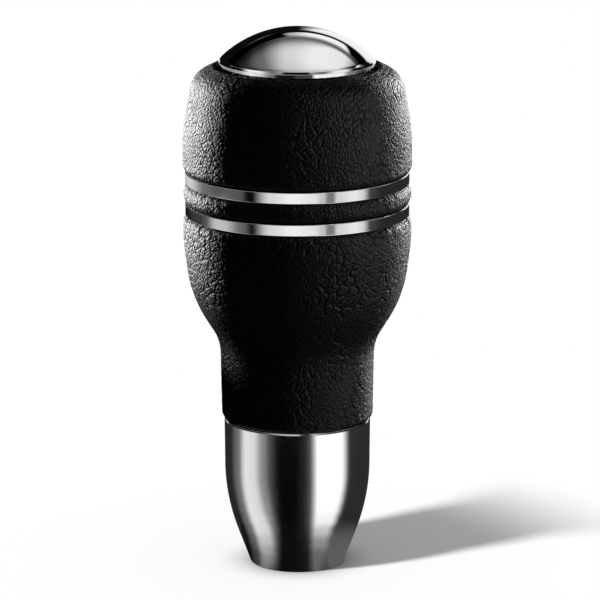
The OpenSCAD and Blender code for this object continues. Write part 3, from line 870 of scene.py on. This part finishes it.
KEY_RISE = math.radians(38)
KEY_SIDE = math.radians(35)
KEY_SPREAD = math.radians(7)
key_place = (-math.cos(KEY_SIDE) * math.cos(KEY_RISE), -math.sin(KEY_SIDE) * math.cos(KEY_RISE), math.sin(KEY_RISE))
key = lamp("key", "SUN", 3.6, key_place, (0, 0, 0), {"angle": KEY_SPREAD})
key.visible_glossy = False


# Strip lamps that skim over the leather only, from behind on both sides

def collected(name, pieces):
    made = bpy.data.collections.new(name)
    for piece in pieces:
        made.objects.link(piece)
    return made


def only_for(light, pieces):
    """Limits what a lamp or a card lights to some pieces."""
    light.light_linking.receiver_collection = collected(light.name + "_receivers", pieces)
    return light


LEATHERS = (lower_wrap, band_wrap, upper_wrap)


STRIP_DISTANCE = 0.9
GRIP_MIDDLE = 0.07


def strip_lamp(name, azimuth, rise, width, height, radiance):
    """A lamp at an azimuth from the viewer's side, whose light only the leather takes."""
    a, e = math.radians(azimuth), math.radians(rise)
    spot = (STRIP_DISTANCE * math.sin(a) * math.cos(e), -STRIP_DISTANCE * math.cos(a) * math.cos(e),
            GRIP_MIDDLE + STRIP_DISTANCE * math.sin(e))
    made = lamp(name, "AREA", radiance * math.pi * width * height, spot, (0, 0, GRIP_MIDDLE),
                {"shape": "RECTANGLE", "size": width, "size_y": height})
    made.visible_camera = False
    return only_for(made, LEATHERS)


left_strip = strip_lamp("left_strip", -135, 4, 0.24, 0.24, 104.0)
strip_lamp("right_strip", 145, 6, 0.28, 0.26, 50.0)
strip_lamp("right_fill", 82, 6, 0.3, 0.26, 13.5)

FLAG_ENDS = ((-0.105, 0.03), (-0.02, 0.115))
FLAG_H = 0.062


def neck_flag():
    """A flag behind the neck, on the left, which keeps the left strip's light off it and blocks nothing else."""
    (x0, y0), (x1, y1) = FLAG_ENDS
    corners = [(x0, y0, 0.0), (x1, y1, 0.0), (x1, y1, FLAG_H), (x0, y0, FLAG_H)]
    made = stage_mesh("neck_flag", corners, [(0, 1, 2, 3)], bpy.data.materials.new("flag_black"))
    return hidden_from(made, "camera", "diffuse", "glossy", "transmission", "volume_scatter")


flag = neck_flag()
for light in [o for o in scene.objects if o.type == "LIGHT"]:
    light.light_linking.blocker_collection = collected(light.name + "_blockers", [
        piece for piece in scene.objects if piece.type == "MESH" and (piece != flag or light == left_strip)])


# Cards round the knob, which only the reflections in its metals see

# All but the leathers, which the strip lamps alone light
BESIDES_LEATHER = [o for o in scene.objects if o.type == "MESH" and o not in LEATHERS]
only_for(key, BESIDES_LEATHER)

EYE_LEVEL = 0.06
SOFTBOX_Z = 1.11
CARD_R = 2.55
SHELL_R = 2.6
SHELL_TURNS = 64
SHELL_ROWS = 25
WALL_RISE = 24
DARK = 0.004


def card_finish(name):
    """A card's empty finish, its graph, and the places that its levels run over: x and y in metres, the azimuth from
    the viewer's side in degrees, the distance from the axis in millimetres and the rise in degrees."""
    material, g = finish(name)
    x, y, z = g.split(object_coords(g))
    azimuth = x.math("ARCTAN2", -y) * (180 / math.pi)
    flat = (x * x + y * y).math("SQRT")
    rise = (z - EYE_LEVEL).math("ARCTAN2", flat) * (180 / math.pi)
    material.cycles.emission_sampling = "NONE"
    return material, g, x, y, azimuth, flat * 1000.0, rise


def glow(g, strength):
    g.node("ShaderNodeOutputMaterial", None, {"Surface": emitter(g, strength)})


def reflections_only(card):
    """Leaves a card to the reflections in the metals alone."""
    hidden_from(card, "camera", "diffuse", "shadow", "transmission", "volume_scatter")
    return only_for(card, BESIDES_LEATHER)


def along(g, value, spots):
    """A smooth run of levels between spots (value, level)."""
    level = spots[0][1]
    for (a, low), (b, high) in zip(spots, spots[1:]):
        level = level + (high - low) * g.step(value, a, b)
    return level


def floor_card():
    """Three rings of light on the floor: the collar reflects the near one, the plated rings the middle one
    and the cap's skirt the far one."""
    material, g, _, _, azimuth, distance, _ = card_finish("floor_card")

    # The collar's two bright bands run together towards its foot, so their light drifts to the front there
    drift = along(g, distance, [(10, 39), (13, 35), (16, 30), (22, 24), (27, 17.5), (35, 11.5), (45, 7.5), (60, 4),
                                (80, 1.5), (105, 0)])
    left_level = along(g, distance, [(10, 0.22), (12.5, 0.32), (15, 0.5), (17, 0.7), (22, 0.95), (27, 1.0)])
    left = along(g, azimuth - drift, [(-125, 0.0), (-101, 0.18), (-85, 0.92), (-70, 0.85), (-54, 0.3), (-40, 0.07),
                                      (-28, 0.008), (-16, 0.0)])
    left = left * left_level * (1 - g.step(azimuth, -44, -20))
    right_level = along(g, distance, [(10, 0.15), (14, 0.15), (17, 0.3), (22, 0.64), (27, 1.08), (40, 1.3)])
    right = along(g, azimuth + 0.16 * drift, [(-2, 0.0), (10, 0.01), (19, 0.05), (22, 0.2), (25, 0.45), (30, 1.0)])
    right_end = 1 - g.step(azimuth + 1.1 * drift, 68, 86)
    right = right * right_level * (0.02 + 0.98 * right_end)
    left_rim = 0.02 * g.window(azimuth, -160, -110, 10)
    right_foot = 0.12 * g.window(azimuth, 40, 150, 10) * (1 - g.step(distance, 14, 28))
    near = 0.002 + 0.003 * (1 - g.step(distance, 18, 34)) + left + right + left_rim + right_foot

    shared = along(g, azimuth, [(-46, 0.0), (-26, 0.8), (-5, 1.02), (16, 0.9), (26, 0.62), (31, 0.22), (35, 0.22),
                                (41, 0.75), (60, 0.95), (67, 0.8), (79, 0.06), (95, 0.025)])
    upper_ring = along(g, azimuth, [(-178, 0.02), (-162, 0.6), (-140, 0.7), (-105, 0.16), (-88, 0.1), (-60, 0.1),
                                    (-50, 0.004)])
    lower_ring = along(g, azimuth, [(-178, 0.02), (-160, 0.01), (-115, 0.05), (-106, 0.1), (-88, 0.62), (-80, 0.6),
                                    (-57, 0.15), (-46, 0.02)])
    lower_share = 1 - g.step(distance, 385, 405)
    left_side = (lower_ring * lower_share + upper_ring * (1 - lower_share)) * (1 - g.step(azimuth, -50, -40))
    middle = left_side + shared

    far = along(g, azimuth, [(-178, 0.5), (-150, 0.4), (-115, 0.3), (-95, 0.4), (-72, 0.95), (-60, 0.8), (-38, 0.2),
                             (-28, 0.006), (-8, 0.006), (0, 0.05), (20, 0.06), (26, 1.03), (66, 1.03), (82, 0.25),
                             (110, 0.05), (130, 0.3), (150, 0.5)])

    to_middle = g.step(distance, 305, 345)
    to_far = g.step(distance, 480, 520)
    outside = g.step(distance, 745, 755)
    glow(g, near * (1 - to_middle) + middle * to_middle * (1 - to_far) + far * to_far * (1 - outside) + outside)
    rim = [(CARD_R * math.cos(a), CARD_R * math.sin(a)) for a in np.linspace(0, FULL_TURN, 97)[:-1]]
    return reflections_only(stage_plane("floor_card", rim, -0.02 * MM, material))


def softbox():
    """The overhead softbox that the dome mirrors: a soft body, a dim seam at its back and a bright strip behind it."""
    material, g, x, y, _, _, _ = card_finish("overhead_softbox")
    to_right = g.step(x, 0.0, 0.55)
    edge = y + 0.1 * x * x
    across = along(g, x, [(-1.3, 0.0), (-0.8, 0.04), (-0.5, 0.16), (-0.1, 0.78), (0.25, 1.0), (0.62, 0.95),
                          (1.05, 0.0)])
    fall = 1 - g.step(edge, 0.35 + 0.43 * to_right, 1.02 - 0.05 * to_right)
    to_viewer = 0.64 + 0.36 * g.step(y, -0.38, 0.14)
    body = across * (0.14 + 0.86 * fall) * (1 - g.step(edge, 1.13, 1.18)) * to_viewer
    strip_back = 1 - g.step(edge, 1.64 + 0.1 * to_right, 1.72 + 0.1 * to_right)
    strip = g.step(edge, 1.02, 1.34) * strip_back * g.window(x + 0.1 * y, 0.0, 0.86, 0.05)
    glow(g, body + strip * (0.4 + 0.65 * g.step(x, -0.15, 0.2)))
    corners = [(-1.35, -0.85), (1.15, -0.85), (1.15, 1.9), (-1.35, 1.9)]
    return reflections_only(stage_plane("overhead_softbox", corners, SOFTBOX_Z, material))


def surround():
    """A dark shell with the studio's white far wall on the right, a faint edge on the left, and two rings of light
    for the dome's edge and for the collar's upper edge."""
    material, g, _, _, azimuth, _, rise = card_finish("surround")
    wall = g.window(azimuth, 145, 177, 3) * (1 - g.step(rise, WALL_RISE - 2, WALL_RISE + 2))
    line = 0.25 * g.window(azimuth, -168, -140, 4) * g.window(rise, 27, 29, 0.6)
    dome_ring = (g.window(azimuth, -140, -24, 5) + g.window(azimuth, 20, 128, 4)) * g.window(rise, 34, 60, 4)
    collar_ring = (g.window(azimuth, -128, 4, 4) + g.window(azimuth, 23, 128, 4)) * g.window(rise, 23, 30, 2)
    glow(g, DARK + wall + line + dome_ring + collar_ring)
    rows = [(SHELL_R * math.cos(e), SHELL_R * math.sin(e)) for e in np.linspace(0, math.pi / 2, SHELL_ROWS)]
    spokes = [FULL_TURN * i / SHELL_TURNS for i in range(SHELL_TURNS)]
    points = [(r * math.cos(a), r * math.sin(a), z) for r, z in rows for a in spokes]
    faces = [(k * SHELL_TURNS + i, (k + 1) * SHELL_TURNS + i, (k + 1) * SHELL_TURNS + j, k * SHELL_TURNS + j)
             for k in range(SHELL_ROWS - 1) for i, j in zip(range(SHELL_TURNS), [*range(1, SHELL_TURNS), 0])]
    return reflections_only(stage_mesh("surround", points, faces, material))


floor_card()
softbox()
surround()


# Camera at the photograph's viewing angle, with its focal length in pixels

HALF_PICTURE = 300
FOCAL_LENGTH = 4296
CAMERA_PLACE = (0.00056, -0.8765, 0.263)
CAMERA_AIM = (0.00056, 0.0, 0.0565)

camera_data = bpy.data.cameras.new("camera")
camera_data.sensor_width = 36.0
camera_data.angle = 2 * math.atan(HALF_PICTURE / FOCAL_LENGTH)
camera_data.clip_start = 0.05
camera_data.clip_end = 20.0
camera = bpy.data.objects.new("camera", camera_data)
camera.location = CAMERA_PLACE
camera.rotation_euler = (Vector(CAMERA_AIM) - camera.location).to_track_quat("-Z", "Y").to_euler()
scene.collection.objects.link(camera)
scene.camera = camera
